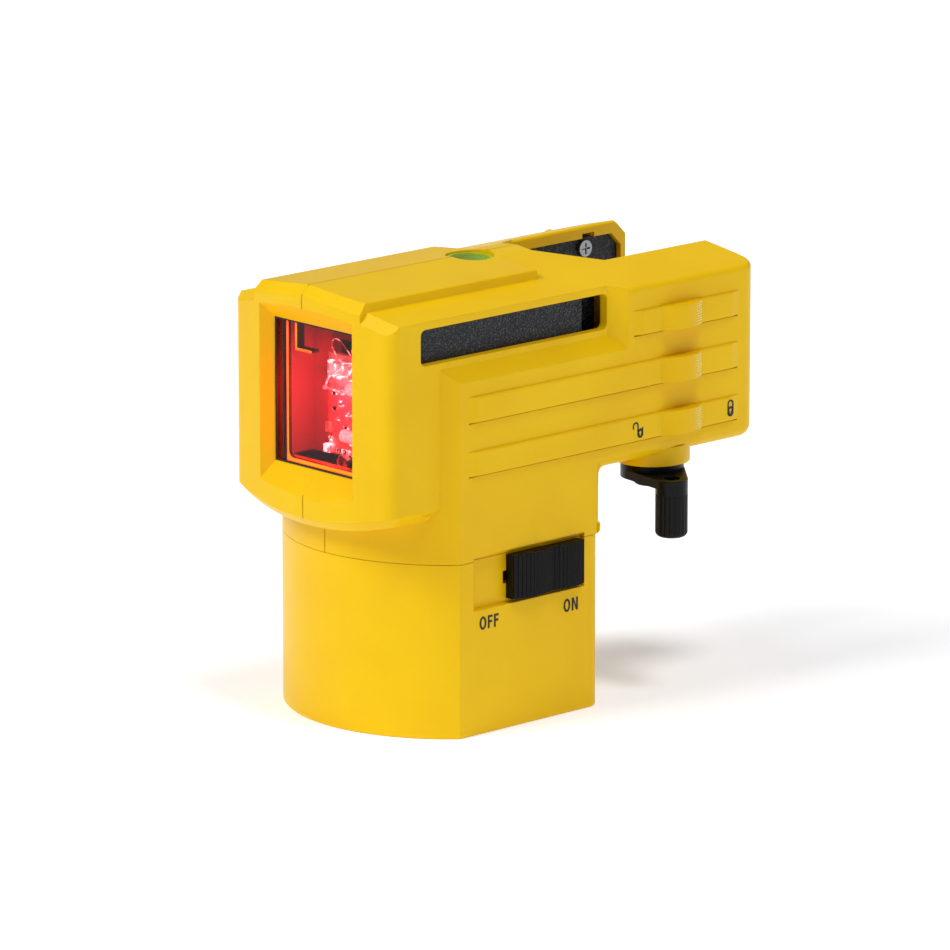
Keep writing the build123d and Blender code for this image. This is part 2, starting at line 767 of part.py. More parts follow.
def cam_shaft():
    """The steel shaft with its heart-shaped cam, which lifts evenly with the angle."""
    start = 180 + lever_rest_swing()
    high = cam_low_radius + cam_lift_per_radian * radians(lever_lock_deg - lever_back_deg)
    steps = 72
    outline = []
    for step in range(steps):
        turn = 360 * step / steps
        share = 1 - abs(180 - turn) / 180
        radius = cam_low_radius + (high - cam_low_radius) * share
        angle = radians(start - turn)
        outline.append((lever_x + radius * cos(angle), lever_y + radius * sin(angle)))
    cam = prism_z(outline, cam_z)
    shaft = rod_z(lever_x, lever_y, (48.0, 61.2), shaft_radius)
    return cam + shaft - rod_z(lever_x, lever_y, (47, 53), 1.05)


def lever_bush():
    ring = rod_z(lever_x, lever_y, (51.9, 56.8), 3.2)
    return ring - rod_z(lever_x, lever_y, (50, 60), shaft_radius + 0.06)


def clamp_lever():
    """The black lever: a hub, a tapering arm and a fluted grip that hangs down."""
    angle = radians(lever_rest_deg)
    grip_x = lever_x + lever_reach * cos(angle)
    grip_y = lever_y + lever_reach * sin(angle)
    hub = rod_z(lever_x, lever_y, lever_hub_z, lever_hub_radius)
    plate_z = (lever_hub_z[0], handle_z[1])
    half_step = sqrt(lever_reach**2 - (lever_hub_radius - handle_radius) ** 2)
    lean = (lever_hub_radius - handle_radius) / lever_reach
    side = half_step / lever_reach
    corners = []
    for x, radius in ((0, lever_hub_radius), (lever_reach, handle_radius)):
        corners.append((x + radius * lean, radius * side))
        corners.append((x + radius * lean, -radius * side))
    plan = [corners[0], corners[2], corners[3], corners[1]]
    arm = Pos(lever_x, lever_y, 0) * Rot(0, 0, lever_rest_deg) * prism_z(plan, plate_z)
    grip = rod_z(grip_x, grip_y, handle_z, handle_radius)
    toe = edges_where(grip, lambda c, n: c.Z < handle_z[0] + 0.1 and n > 20)
    grip = fillet(toe, 1.2)
    for flute in range(20):
        turn = radians(18 * flute)
        x = grip_x + (handle_radius + 0.22) * cos(turn)
        y = grip_y + (handle_radius + 0.22) * sin(turn)
        grip -= rod_z(x, y, (handle_z[0] - 1, lever_hub_z[0] - 1.2), 0.42)
    lever = hub + arm + grip
    lever -= rod_z(grip_x, grip_y, (handle_z[1] - 9, handle_z[1] + 1), 1.9)
    return lever - rod_z(lever_x, lever_y, (40, 60), shaft_radius + 0.04)


def lever_screw():
    head = rod_z(lever_x, lever_y, (46.1, 47.9), 4.2)
    rim = edges_where(head, lambda c, n: c.Z < 46.2)
    head = fillet(rim, 0.7)
    slot = block((lever_x - 2.2, lever_x + 2.2), (lever_y - 0.4, lever_y + 0.4), (45, 46.9))
    return head - slot + rod_z(lever_x, lever_y, (47.8, 52.5), 1.0)


def lever_washer():
    ring = rod_z(lever_x, lever_y, (51.47, 51.73), 5.6)
    return ring - rod_z(lever_x, lever_y, (50, 53), 3.4)


def parts():
    return {
        "left_half_shell": left_half_shell(),
        "right_half_shell": right_half_shell(),
        "base_cup": base_cup(),
        "battery_door": battery_door(),
        "door_hinge_pin": door_hinge_pin(),
        "battery_cell_front": battery_cell(cell_ys[0], 1),
        "battery_cell_rear": battery_cell(cell_ys[1], -1),
        "battery_springs": battery_springs(),
        "battery_contacts": battery_contacts(),
        "battery_cradle": battery_cradle(),
        "base_screws": base_screw_set(),
        "housing_screws": housing_screw_set(),
        "front_window": front_window(),
        "window_gasket": window_gasket(),
        "window_frame": window_frame(),
        "vial_body": vial_body(),
        "vial_fluid": vial_fluid(),
        "vial_lens": vial_lens(),
        "right_side_panel": side_panel(1),
        "left_side_panel": side_panel(-1),
        "power_slider": power_slider(),
        "switch_carriage": switch_carriage(),
        "switch_board": switch_board(),
        "micro_switch": micro_switch(),
        "chassis": chassis(),
        "gimbal_ring": gimbal_ring(),
        "outer_gimbal_pins": outer_gimbal_pins(),
        "outer_gimbal_bushes": outer_gimbal_bushes(),
        "inner_gimbal_pins": inner_gimbal_pins(),
        "inner_gimbal_bushes": inner_gimbal_bushes(),
        "pendulum_carrier": pendulum_carrier(),
        "upper_laser_barrel": laser_barrel(laser_z),
        "lower_laser_barrel": laser_barrel(lower_laser_z),
        "upper_line_lens": line_lens(laser_z),
        "lower_line_lens": line_lens(lower_laser_z),
        "laser_board": laser_board(),
        "pendulum_weight": pendulum_weight(),
        "damper_fin": damper_fin(),
        "damper_magnets": damper_magnets(),
        "magnet_bracket": magnet_bracket(),
        "baffle": baffle(),
        "main_board": main_board(),
        "board_capacitor": board_capacitor(),
        "fixed_jaw_panel": fixed_jaw_panel(),
        "jaw_screws": jaw_screw_set(),
        "moving_jaw": moving_jaw(),
        "moving_jaw_pad": moving_jaw_pad(),
        "jaw_guide_pins": jaw_guide_pins(),
        "cam_shaft": cam_shaft(),
        "lever_bush": lever_bush(),
        "clamp_lever": clamp_lever(),
        "lever_screw": lever_screw(),
        "lever_washer": lever_washer(),
    }


os.makedirs("parts", exist_ok=True)
for name, shape in parts().items():
    export_step(shape, f"parts/{name}.step")
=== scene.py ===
import math
import bmesh
import bpy
from mathutils import Matrix, Vector


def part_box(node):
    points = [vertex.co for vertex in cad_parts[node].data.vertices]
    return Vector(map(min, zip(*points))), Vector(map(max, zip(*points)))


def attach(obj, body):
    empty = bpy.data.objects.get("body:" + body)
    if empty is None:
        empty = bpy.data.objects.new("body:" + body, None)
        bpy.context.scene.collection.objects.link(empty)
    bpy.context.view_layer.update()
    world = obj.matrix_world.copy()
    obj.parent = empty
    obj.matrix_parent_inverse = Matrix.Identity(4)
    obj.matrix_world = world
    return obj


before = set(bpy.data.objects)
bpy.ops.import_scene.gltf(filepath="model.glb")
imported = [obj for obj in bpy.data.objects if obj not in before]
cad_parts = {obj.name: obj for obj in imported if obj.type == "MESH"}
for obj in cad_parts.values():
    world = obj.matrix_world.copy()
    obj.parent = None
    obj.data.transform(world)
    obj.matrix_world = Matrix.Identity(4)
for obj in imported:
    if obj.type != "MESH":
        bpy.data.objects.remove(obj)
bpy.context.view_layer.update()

MM = 0.001

# ---------------------------------------------------------------------------------------------
# The studio. A sheet of matt white paper lies under the level, lit by three soft boxes and a
# pale room, with the key light in front so that the soft shadow falls behind.


def linear(code):
    """An sRGB hex colour as the linear colour that a shader takes."""
    channels = [int(code[i:i + 2], 16) / 255 for i in (1, 3, 5)]
    return tuple(c / 12.92 if c <= 0.04045 else ((c + 0.055) / 1.055) ** 2.4 for c in channels) + (1.0,)


def node(tree, kind, settings=None, links=None):
    """Adds one node, sets its properties and inputs, and links its inputs to (node, output)."""
    made = tree.nodes.new(kind)
    for key, value in (settings or {}).items():
        if key in made.inputs:
            made.inputs[key].default_value = value
        else:
            setattr(made, key, value)
    for key, (source, output) in (links or {}).items():
        tree.links.new(source.outputs[output], made.inputs[key])
    return made


def new_material(name):
    """An empty material and its node tree."""
    material = bpy.data.materials.new(name)
    material.use_nodes = True
    material.node_tree.nodes.clear()
    return material, material.node_tree


def mesh_object(name, mesh):
    made = bpy.data.objects.new(name, mesh)
    bpy.context.scene.collection.objects.link(made)
    return made


def white_paper():
    """Uncoated paper: matt, with a faint mottle of fibres about 1 mm long. Its brightener gives
    back a little blue-white light."""
    material, tree = new_material("uncoated white paper")
    where = node(tree, "ShaderNodeTexCoord")
    fibres = node(tree, "ShaderNodeTexNoise", {"Scale": 1 / (1.0 * MM), "Detail": 3.0}, {"Vector": (where, "Object")})
    tone = node(tree, "ShaderNodeMix", {"data_type": "RGBA"}, {"Factor": (fibres, "Fac")})
    tone.inputs["A"].default_value = linear("#F4F4F3")
    tone.inputs["B"].default_value = linear("#FAFAFA")
    paper = node(tree, "ShaderNodeBsdfPrincipled",
                 {"Roughness": 0.9, "Specular IOR Level": 0.1,
                  "Emission Color": linear("#EDF1FF"), "Emission Strength": 0.3},
                 {"Base Color": (tone, "Result")})
    node(tree, "ShaderNodeOutputMaterial", links={"Surface": (paper, "BSDF")})
    return material


paper_shape = bmesh.new()
bmesh.ops.create_grid(paper_shape, x_segments=8, y_segments=8, size=6.0)
paper_mesh = bpy.data.meshes.new("paper_ground")
paper_shape.to_mesh(paper_mesh)
paper_mesh.materials.append(white_paper())
paper_ground = mesh_object("paper_ground", paper_mesh)

room = bpy.data.worlds.new("pale room")
room.use_nodes = True
room.node_tree.nodes["Background"].inputs["Color"].default_value = linear("#FFFFFF")
room.node_tree.nodes["Background"].inputs["Strength"].default_value = 0.28
bpy.context.scene.world = room
bpy.context.scene.view_settings.view_transform = "Standard"


def soft_light(name, from_point, strength, width):
    """A broad, distant soft box, as wide as the angle that it covers in the level's sky."""
    lamp = bpy.data.lights.new(name, "SUN")
    lamp.energy = strength
    lamp.angle = math.radians(width)
    box = mesh_object(name, lamp)
    box.rotation_euler = Vector(from_point).to_track_quat("Z", "Y").to_euler()
    return box


soft_light("key_light", (-0.35, -1.0, 1.05), 1.8, 26)
soft_light("fill_light", (1.0, 0.6, 0.5), 0.06, 40)
soft_light("top_light", (0.34, 0.0, 1.0), 1.15, 16)

camera = bpy.data.cameras.new("camera")
camera.lens = 297.8
camera.sensor_width = 36.0
camera_object = mesh_object("camera", camera)
azimuth = math.radians(47.01)
elevation = math.radians(13.65)
level_share = math.cos(elevation)
away = Vector((math.sin(azimuth) * level_share, -math.cos(azimuth) * level_share, math.sin(elevation)))
camera_object.location = Vector((-0.0045, 0.0125, 0.0487)) + 1.786 * away
camera_object.rotation_euler = (math.pi / 2 - elevation, 0, azimuth)
bpy.context.scene.camera = camera_object

# ---------------------------------------------------------------------------------------------
# The housing: two half shells of yellow ABS over a D-shaped cup. They are injection moulded in a
# tool with a fine spark-eroded skin, so the surface is an even satin with soft, bright edges.


def moulded(name, light, dark, grain, depth, gloss, edge, specular=0.5):
    """A moulded plastic. Light and dark are its two tones, grain is the width of the skin's
    texture and depth its height, gloss is the mean roughness and edge the radius that the tool
    leaves on a corner, all in millimetres."""
    material, tree = new_material(name)
    where = node(tree, "ShaderNodeTexCoord")
    drift = node(tree, "ShaderNodeTexNoise", {"Scale": 1 / (28 * MM), "Detail": 2.0}, {"Vector": (where, "Object")})
    skin = node(tree, "ShaderNodeTexNoise", {"Scale": 1 / (grain * MM), "Detail": 2.0}, {"Vector": (where, "Object")})
    both = node(tree, "ShaderNodeMath", {"operation": "MULTIPLY_ADD"}, {0: (skin, "Fac"), 2: (drift, "Fac")})
    both.inputs[1].default_value = 0.35
    share = node(tree, "ShaderNodeMapRange", {"From Min": 0.45, "From Max": 0.9}, {"Value": (both, "Value")})
    tone = node(tree, "ShaderNodeMix", {"data_type": "RGBA"}, {"Factor": (share, "Result")})
    tone.inputs["A"].default_value = linear(dark)
    tone.inputs["B"].default_value = linear(light)
    sheen = node(tree, "ShaderNodeMapRange",
                 {"From Min": 0.3, "From Max": 0.7, "To Min": gloss - 0.05, "To Max": gloss + 0.05},
                 {"Value": (skin, "Fac")})
    corner = node(tree, "ShaderNodeBevel", {"Radius": edge * MM, "samples": 6})
    relief = node(tree, "ShaderNodeBump", {"Strength": 0.5, "Distance": depth * MM},
                  {"Height": (skin, "Fac"), "Normal": (corner, "Normal")})
    plastic = node(tree, "ShaderNodeBsdfPrincipled", {"IOR": 1.53, "Specular IOR Level": specular},
                   {"Base Color": (tone, "Result"), "Roughness": (sheen, "Result"), "Normal": (relief, "Normal")})
    node(tree, "ShaderNodeOutputMaterial", links={"Surface": (plastic, "BSDF")})
    return material


def finish_nodes(material, *names):
    """Gives CAD nodes their finish."""
    for name in names:
        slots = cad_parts[name].data.materials
        slots.clear()
        slots.append(material)


# A 0.3 mm skin is coarser than the real spark grain of about 0.1 mm, so that it shows.
yellow_abs = moulded("moulded yellow ABS", "#EFC300", "#E8B800", 0.3, 0.012, 0.36, 0.22, 0.14)
finish_nodes(yellow_abs, "left_half_shell", "right_half_shell", "base_cup", "battery_door")

# ---------------------------------------------------------------------------------------------
# The printed marks: ON and OFF under the slider, and an open and a closed padlock at the ends
# of the lever's swing. They are pad printed in black ink, a film that stands a hair proud.


def black_ink():
    """Pad-printing ink: thin, slightly uneven in cover, more matt than the plastic."""
    material, tree = new_material("black pad-printing ink")
    where = node(tree, "ShaderNodeTexCoord")
    cover = node(tree, "ShaderNodeTexNoise", {"Scale": 1 / (0.4 * MM), "Detail": 3.0}, {"Vector": (where, "Object")})
    tone = node(tree, "ShaderNodeMix", {"data_type": "RGBA"}, {"Factor": (cover, "Fac")})
    tone.inputs["A"].default_value = linear("#0B0A08")
    tone.inputs["B"].default_value = linear("#1C1A16")
    ink = node(tree, "ShaderNodeBsdfPrincipled", {"Roughness": 0.6}, {"Base Color": (tone, "Result")})
    node(tree, "ShaderNodeOutputMaterial", links={"Surface": (ink, "BSDF")})
    return material


def flat_shape(name, loops, thickness, matrix, material):
    """A thin plate with the given outlines and holes, as a mesh placed by the matrix."""
    curve = bpy.data.curves.new(name, "CURVE")
    curve.dimensions = "2D"
    curve.fill_mode = "BOTH"
    curve.extrude = thickness / 2
    for loop in loops:
        spline = curve.splines.new("POLY")
        spline.points.add(len(loop) - 1)
        for point, (u, v) in zip(spline.points, loop):
            point.co = (u, v, 0, 1)
        spline.use_cyclic_u = True
    source = mesh_object(name + "_outline", curve)
    mesh = bpy.data.meshes.new_from_object(source.evaluated_get(bpy.context.evaluated_depsgraph_get()))
    bpy.data.objects.remove(source)
    mesh.name = name
    mesh.transform(matrix)
    mesh.materials.clear()
    mesh.materials.append(material)
    return mesh_object(name, mesh)


def ring_points(u, v, half_width, half_height, count=32, first=0.0, last=360.0):
    """Points round an ellipse, or along part of it."""
    closed = abs(last - first) >= 360
    steps = count if closed else count - 1
    turns = [math.radians(first + (last - first) * i / steps) for i in range(count)]
    return [(u + half_width * math.cos(t), v + half_height * math.sin(t)) for t in turns]


def on_side(y, z):
    """The place on the +X side whose own axes run along +Y and +Z."""
    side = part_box("base_cup")[1].x + 0.02 * MM
    return Matrix(((0, 0, 1, side), (1, 0, 0, y), (0, 1, 0, z), (0, 0, 0, 1)))


ink = black_ink()
cap_height = 3.0 * MM
stroke = 0.56 * MM


def letter_o(u):
    half = 1.05 * MM
    middle = (u + half, cap_height / 2)
    outer = ring_points(*middle, half, cap_height / 2 + 0.04 * MM)
    return [outer, ring_points(*middle, half - stroke, cap_height / 2 - stroke + 0.08 * MM)], 2 * half


def letter_f(u):
    width = 1.45 * MM
    arm = cap_height * 0.44
    tip = u + width * 0.92
    return [[(u, 0), (u + stroke, 0), (u + stroke, arm), (tip, arm), (tip, arm + stroke * 0.9),
             (u + stroke, arm + stroke * 0.9), (u + stroke, cap_height - stroke * 0.9),
             (u + width, cap_height - stroke * 0.9), (u + width, cap_height), (u, cap_height)]], width


def letter_n(u):
    width = 1.95 * MM
    return [[(u, 0), (u + stroke, 0), (u + stroke, cap_height * 0.66), (u + width - stroke * 1.1, 0), (u + width, 0),
             (u + width, cap_height), (u + width - stroke, cap_height), (u + width - stroke, cap_height * 0.34),
             (u + stroke * 1.1, cap_height), (u, cap_height)]], width


def word(name, letters, y, z):
    cursor = 0.0
    loops = []
    for letter in letters:
        shapes, width = letter(cursor)
        loops += shapes
        cursor += width + 0.42 * MM
    made = flat_shape(name, loops, 0.05 * MM, on_side(y, z), ink)
    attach(made, "housing")
    return made


word("word_off", (letter_o, letter_f, letter_f), -17.6 * MM, 24.1 * MM)
word("word_on", (letter_o, letter_n), 8.2 * MM, 23.6 * MM)


def keyhole(v, size):
    """A round hole over a short slot, as one outline."""
    slot = 0.34 * size
    top = ring_points(0, v, size, size, 20, -60, 240)
    return top + [(-slot, v - 2.3 * size), (slot, v - 2.3 * size)]


def padlock_closed():
    """A capsule with an arched opening under the shackle and a keyhole in the body."""
    half = 0.98 * MM
    outer = ring_points(0, 1.05 * MM, half, half, 17, 0, 180) + ring_points(0, -0.95 * MM, half, half, 17, 180, 360)
    arch = ring_points(0, 1.05 * MM, 0.55 * MM, 0.55 * MM, 15, 0, 180)
    arch += ring_points(0, -0.1 * MM, 0.6 * MM, 0.62 * MM, 9, 150, 30)
    return [outer, arch, keyhole(-0.42 * MM, 0.36 * MM)]


def padlock_open():
    """The same body with its shackle swung over to the left."""
    half = 0.92 * MM
    body = [(half, 0.55 * MM), (half * 0.62, 0.5 * MM)] + ring_points(0, -0.3 * MM, 0.62 * MM, 0.62 * MM, 9, 40, 140)
    body += [(-half, 0.1 * MM)] + ring_points(0, -1.0 * MM, half, half, 17, 180, 360)
    loop_out = ring_points(-1.45 * MM, 1.1 * MM, 0.92 * MM, 0.85 * MM, 17, 0, 180)
    loop_in = ring_points(-1.45 * MM, 1.1 * MM, 0.5 * MM, 0.45 * MM, 17, 180, 0)
    shackle = [(-half + 0.38 * MM, -0.4 * MM)] + loop_out + [(-2.37 * MM, 0.35 * MM), (-1.95 * MM, 0.3 * MM)]
    shackle += loop_in + [(-half - 0.02 * MM, -0.4 * MM)]
    return [body, keyhole(-0.62 * MM, 0.34 * MM)], [shackle]


band_face = Matrix.Translation((0.6 * MM, 0, 0))
closed_place = band_face @ on_side(60.0 * MM, 62.6 * MM)
closed_mark = flat_shape("padlock_closed", padlock_closed(), 0.05 * MM, closed_place, ink)
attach(closed_mark, "housing")
open_body, open_shackle = padlock_open()
for name, loops in (("padlock_open_body", open_body), ("padlock_open_shackle", open_shackle)):
    mark = flat_shape(name, loops, 0.05 * MM, band_face @ on_side(31.4 * MM, 62.2 * MM), ink)
    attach(mark, "housing")

# ---------------------------------------------------------------------------------------------
# The thumb grips: rows of small moulded pips over the rear end of each thumb pad, which stop a
# thumb from slipping. They are part of the same moulding, with a polished crown that is painted
# lighter as a highlight.

# The pips' lighter yellow is a painted highlight; their lower roughness is the real polish.
polished_pip_painted_highlight = moulded("polished yellow ABS with painted highlight", "#F8E382", "#F0D45A", 0.3, 0.004, 0.2, 0.05, 0.5)
pad_middle = 44.45 * MM
pad_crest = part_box("right_half_shell")[1].x
pad_curve = 10.19 * MM
pad_feet = (59.7, 71.9, 84.0)
grip_front = 47.3
pip_rows, pip_columns = 9, 5
pip_rise, pip_run, pip_margin = 0.58, 0.55, 0.55
for side, side_name in ((1, "right"), (-1, "left")):
    pips = bmesh.new()
    for low in pad_feet:
        for row in range(pip_rows):
            for column in range(pip_columns):
                y = (grip_front + pip_run * column) * MM
                z = (low + pip_margin + pip_rise * row) * MM
                along = y - pad_middle
                x = pad_crest - pad_curve + math.sqrt(pad_curve ** 2 - along ** 2)
                place = Matrix.Translation((side * x, y, z)) @ Matrix.Diagonal((0.2 * MM, 0.25 * MM, 0.25 * MM, 1))
                bmesh.ops.create_icosphere(pips, subdivisions=2, radius=1.0, matrix=place)
    pip_mesh = bpy.data.meshes.new(side_name + "_grip_pips")
    pips.to_mesh(pip_mesh)
    pips.free()
    pip_mesh.materials.append(polished_pip_painted_highlight)
    pip_mesh.shade_smooth()
    grip = mesh_object(side_name + "_grip_pips", pip_mesh)
    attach(grip, "housing")

# ---------------------------------------------------------------------------------------------
# The screws, pins, springs and contacts. They are bright zinc plate over steel, cold formed and
# then barrel plated, so they shine softly and show fine drawn or turned lines.


def metal(name, light, dark, line, direction, gloss, depth=0.004):
    """A metal with fine lines. Line is their spacing in millimetres, and direction gives how
    much the pattern is stretched along X, Y and Z."""
    material, tree = new_material(name)
    where = node(tree, "ShaderNodeTexCoord")
    drawn = node(tree, "ShaderNodeMapping", {"Scale": direction}, {"Vector": (where, "Object")})
    lines = node(tree, "ShaderNodeTexNoise", {"Scale": 1 / (line * MM), "Detail": 4.0}, {"Vector": (drawn, "Vector")})
    tone = node(tree, "ShaderNodeMix", {"data_type": "RGBA"}, {"Factor": (lines, "Fac")})
    tone.inputs["A"].default_value = linear(dark)
    tone.inputs["B"].default_value = linear(light)
    sheen = node(tree, "ShaderNodeMapRange",
                 {"From Min": 0.3, "From Max": 0.7, "To Min": gloss - 0.08, "To Max": gloss + 0.08},
                 {"Value": (lines, "Fac")})
    corner = node(tree, "ShaderNodeBevel", {"Radius": 0.12 * MM, "samples": 4})
    relief = node(tree, "ShaderNodeBump", {"Strength": 0.4, "Distance": depth * MM},
                  {"Height": (lines, "Fac"), "Normal": (corner, "Normal")})
    surface = node(tree, "ShaderNodeBsdfPrincipled", {"Metallic": 1.0},
                   {"Base Color": (tone, "Result"), "Roughness": (sheen, "Result"), "Normal": (relief, "Normal")})
    node(tree, "ShaderNodeOutputMaterial", links={"Surface": (surface, "BSDF")})
    return material


zinc = metal("zinc-plated steel", "#A9ABAD", "#7E8184", 0.25, (1.0, 1.0, 1.0), 0.38)
spring_steel = metal("drawn spring steel", "#C3C5C8", "#8E9296", 0.15, (0.2, 1.0, 1.0), 0.32)
finish_nodes(zinc, "base_screws", "housing_screws", "jaw_screws", "magnet_bracket")
finish_nodes(spring_steel, "battery_springs", "battery_contacts", "door_hinge_pin", "jaw_guide_pins",
             "outer_gimbal_pins", "inner_gimbal_pins", "cam_shaft", "lever_washer")

# ---------------------------------------------------------------------------------------------
# The battery bay: two size AA cells side by side under a black tray. A cell is a steel can in a
# shrunk printed sleeve, charcoal for most of its length and copper-coloured at the plus end.


def cell_sleeve(name, plus_side):
    """Shrunk PVC sleeve, glossy, with a copper band over the third next to the plus end."""
    material, tree = new_material(name)
    where = node(tree, "ShaderNodeTexCoord")
    split = node(tree, "ShaderNodeSeparateXYZ", links={"Vector": (where, "Object")})
    side = node(tree, "ShaderNodeMath", {"operation": "MULTIPLY"}, {0: (split, "X")})
    side.inputs[1].default_value = plus_side
    band = node(tree, "ShaderNodeMapRange", {"From Min": 9.0 * MM, "From Max": 9.2 * MM}, {"Value": (side, "Value")})
    can = node(tree, "ShaderNodeMapRange", {"From Min": 24.1 * MM, "From Max": 24.2 * MM}, {"Value": (side, "Value")})
    wrinkle = node(tree, "ShaderNodeTexNoise", {"Scale": 1 / (3 * MM), "Detail": 2.0}, {"Vector": (where, "Object")})
    tone = node(tree, "ShaderNodeMix", {"data_type": "RGBA"}, {"Factor": (band, "Result")})
    tone.inputs["A"].default_value = linear("#1D1F23")
    tone.inputs["B"].default_value = linear("#B5702E")
    whole = node(tree, "ShaderNodeMix", {"data_type": "RGBA"}, {"Factor": (can, "Result"), "A": (tone, "Result")})
    whole.inputs["B"].default_value = linear("#C9CBCE")
    relief = node(tree, "ShaderNodeBump", {"Strength": 0.3, "Distance": 0.05 * MM}, {"Height": (wrinkle, "Fac")})
    sleeve = node(tree, "ShaderNodeBsdfPrincipled", {"Roughness": 0.28, "IOR": 1.53, "Coat Weight": 0.3},
                  {"Base Color": (whole, "Result"), "Metallic": (can, "Result"), "Normal": (relief, "Normal")})
    node(tree, "ShaderNodeOutputMaterial", links={"Surface": (sleeve, "BSDF")})
    return material


black_abs = moulded("moulded black ABS", "#141517", "#0E0F10", 0.3, 0.01, 0.5, 0.25, 0.3)
finish_nodes(cell_sleeve("shrunk sleeve plus right", 1.0), "battery_cell_front")
finish_nodes(cell_sleeve("shrunk sleeve plus left", -1.0), "battery_cell_rear")
finish_nodes(black_abs, "battery_cradle", "switch_carriage", "micro_switch", "board_capacitor", "moving_jaw")

# ---------------------------------------------------------------------------------------------
# The front window: a pane of clear red cast acrylic behind the opening, on a thin rubber gasket.
# It lets the beams out and turns all that lies behind it red.


def cast_acrylic(name, tint, gloss):
    """Clear tinted sheet: what lies behind shows through the tint, under a mirror-like skin. A
    coating dulls that skin, so the IOR is below the 1.49 of bare acrylic."""
    material, tree = new_material(name)
    where = node(tree, "ShaderNodeTexCoord")
    ripple = node(tree, "ShaderNodeTexNoise", {"Scale": 1 / (9 * MM), "Detail": 1.0}, {"Vector": (where, "Object")})
    relief = node(tree, "ShaderNodeBump", {"Strength": 0.1, "Distance": 0.02 * MM}, {"Height": (ripple, "Fac")})
    mirror = node(tree, "ShaderNodeFresnel", {"IOR": 1.3}, {"Normal": (relief, "Normal")})
    face = node(tree, "ShaderNodeNewGeometry")
    front = node(tree, "ShaderNodeMath", {"operation": "SUBTRACT"}, {1: (face, "Backfacing")})
    front.inputs[0].default_value = 1.0
    share = node(tree, "ShaderNodeMath", {"operation": "MULTIPLY"}, {0: (mirror, "Fac"), 1: (front, "Value")})
    share.use_clamp = True
    clear = node(tree, "ShaderNodeBsdfTransparent", {"Color": linear(tint)})
    shine = node(tree, "ShaderNodeBsdfGlossy", {"Roughness": gloss}, {"Normal": (relief, "Normal")})
    sheet = node(tree, "ShaderNodeMixShader", links={"Fac": (share, "Value"), 1: (clear, "BSDF"), 2: (shine, "BSDF")})
    node(tree, "ShaderNodeOutputMaterial", links={"Surface": (sheet, "Shader")})
    return material


finish_nodes(cast_acrylic("red cast acrylic", "#F8A0A6", 0.03), "front_window")
rubber = moulded("black rubber", "#141012", "#0B080A", 0.5, 0.02, 0.65, 0.1)
finish_nodes(rubber, "window_gasket")

# ---------------------------------------------------------------------------------------------
# The inner frame: a short tunnel of the same yellow ABS behind the pane, clipped between the
# half shells. Its lip and one rib carry a painted glow, an emission that stands for laser light
# piped through the plastic, and the rest of the frame is painted dark as shade.


def yellow_abs_painted_glow_and_shade(name, front_y):
    """Yellow ABS with painted light: the lip round the tunnel's mouth has a painted glow, an
    emission that stands for the laser's light piped through the plastic, and the rest is painted
    dark as shade, with a 0.3 mm skin."""
    material, tree = new_material(name)
    where = node(tree, "ShaderNodeTexCoord")
    skin = node(tree, "ShaderNodeTexNoise", {"Scale": 1 / (0.3 * MM), "Detail": 2.0}, {"Vector": (where, "Object")})
    # The dark tone is painted shade over yellow ABS.
    tone = node(tree, "ShaderNodeMix", {"data_type": "RGBA"}, {"Factor": (skin, "Fac")})
    tone.inputs["A"].default_value = linear("#3A2A06")
    tone.inputs["B"].default_value = linear("#46330A")
    place = node(tree, "ShaderNodeSeparateXYZ", links={"Vector": (where, "Object")})
    across = node(tree, "ShaderNodeMath", {"operation": "ABSOLUTE"}, {0: (place, "X")})
    # The masks below place the painted glow on the lip round the tunnel's mouth.
    rim = node(tree, "ShaderNodeMapRange", {"From Min": 14.3 * MM, "From Max": 14.0 * MM},
               {"Value": (across, "Value")})
    under_top = node(tree, "ShaderNodeMapRange", {"From Min": 92.0 * MM, "From Max": 88.0 * MM},
                     {"Value": (place, "Z")})
    lip = node(tree, "ShaderNodeMath", {"operation": "MULTIPLY"}, {0: (rim, "Result"), 1: (under_top, "Result")})
    facing = node(tree, "ShaderNodeSeparateXYZ", links={"Vector": (where, "Normal")})
    deep = node(tree, "ShaderNodeMapRange", {"From Min": front_y - 0.1 * MM, "From Max": front_y + 0.1 * MM},
                {"Value": (place, "Y")})
    outward = node(tree, "ShaderNodeMapRange", {"From Min": -0.5, "From Max": -0.8}, {"Value": (facing, "Y")})
    mouth = node(tree, "ShaderNodeMath", {"operation": "MULTIPLY"}, {0: (deep, "Result"), 1: (outward, "Result")})
    both = node(tree, "ShaderNodeMath", {"operation": "MULTIPLY"}, {0: (mouth, "Value"), 1: (lip, "Value")})
    uneven = node(tree, "ShaderNodeTexNoise", {"Scale": 1 / (9 * MM), "Detail": 1.0}, {"Vector": (where, "Object")})
    power = node(tree, "ShaderNodeMapRange", {"From Min": 0.3, "From Max": 0.7, "To Min": 3.0, "To Max": 6.5},
                 {"Value": (uneven, "Fac")})
    glow_share = node(tree, "ShaderNodeMath", {"operation": "MULTIPLY"}, {0: (both, "Value"), 1: (power, "Result")})
    plastic = node(tree, "ShaderNodeBsdfPrincipled",
                   {"Roughness": 0.4, "IOR": 1.53, "Specular IOR Level": 0.2, "Emission Color": linear("#F2C010")},
                   {"Base Color": (tone, "Result"), "Emission Strength": (glow_share, "Value")})
    node(tree, "ShaderNodeOutputMaterial", links={"Surface": (plastic, "BSDF")})
    return material


lip_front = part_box("window_frame")[0].y + 1.2 * MM
painted_glow_and_shade_abs = yellow_abs_painted_glow_and_shade("yellow ABS with painted glow and painted shade", lip_front)
finish_nodes(painted_glow_and_shade_abs, "window_frame")


def solid_piece(name, shape, material, body, smooth=False):
    """Turns a bmesh into a piece that rides on a body."""
    bmesh.ops.recalc_face_normals(shape, faces=shape.faces)
    mesh = bpy.data.meshes.new(name)
    shape.to_mesh(mesh)
    shape.free()
    mesh.materials.append(material)
    if smooth:
        mesh.shade_smooth()
    made = mesh_object(name, mesh)
    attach(made, body)
    return made


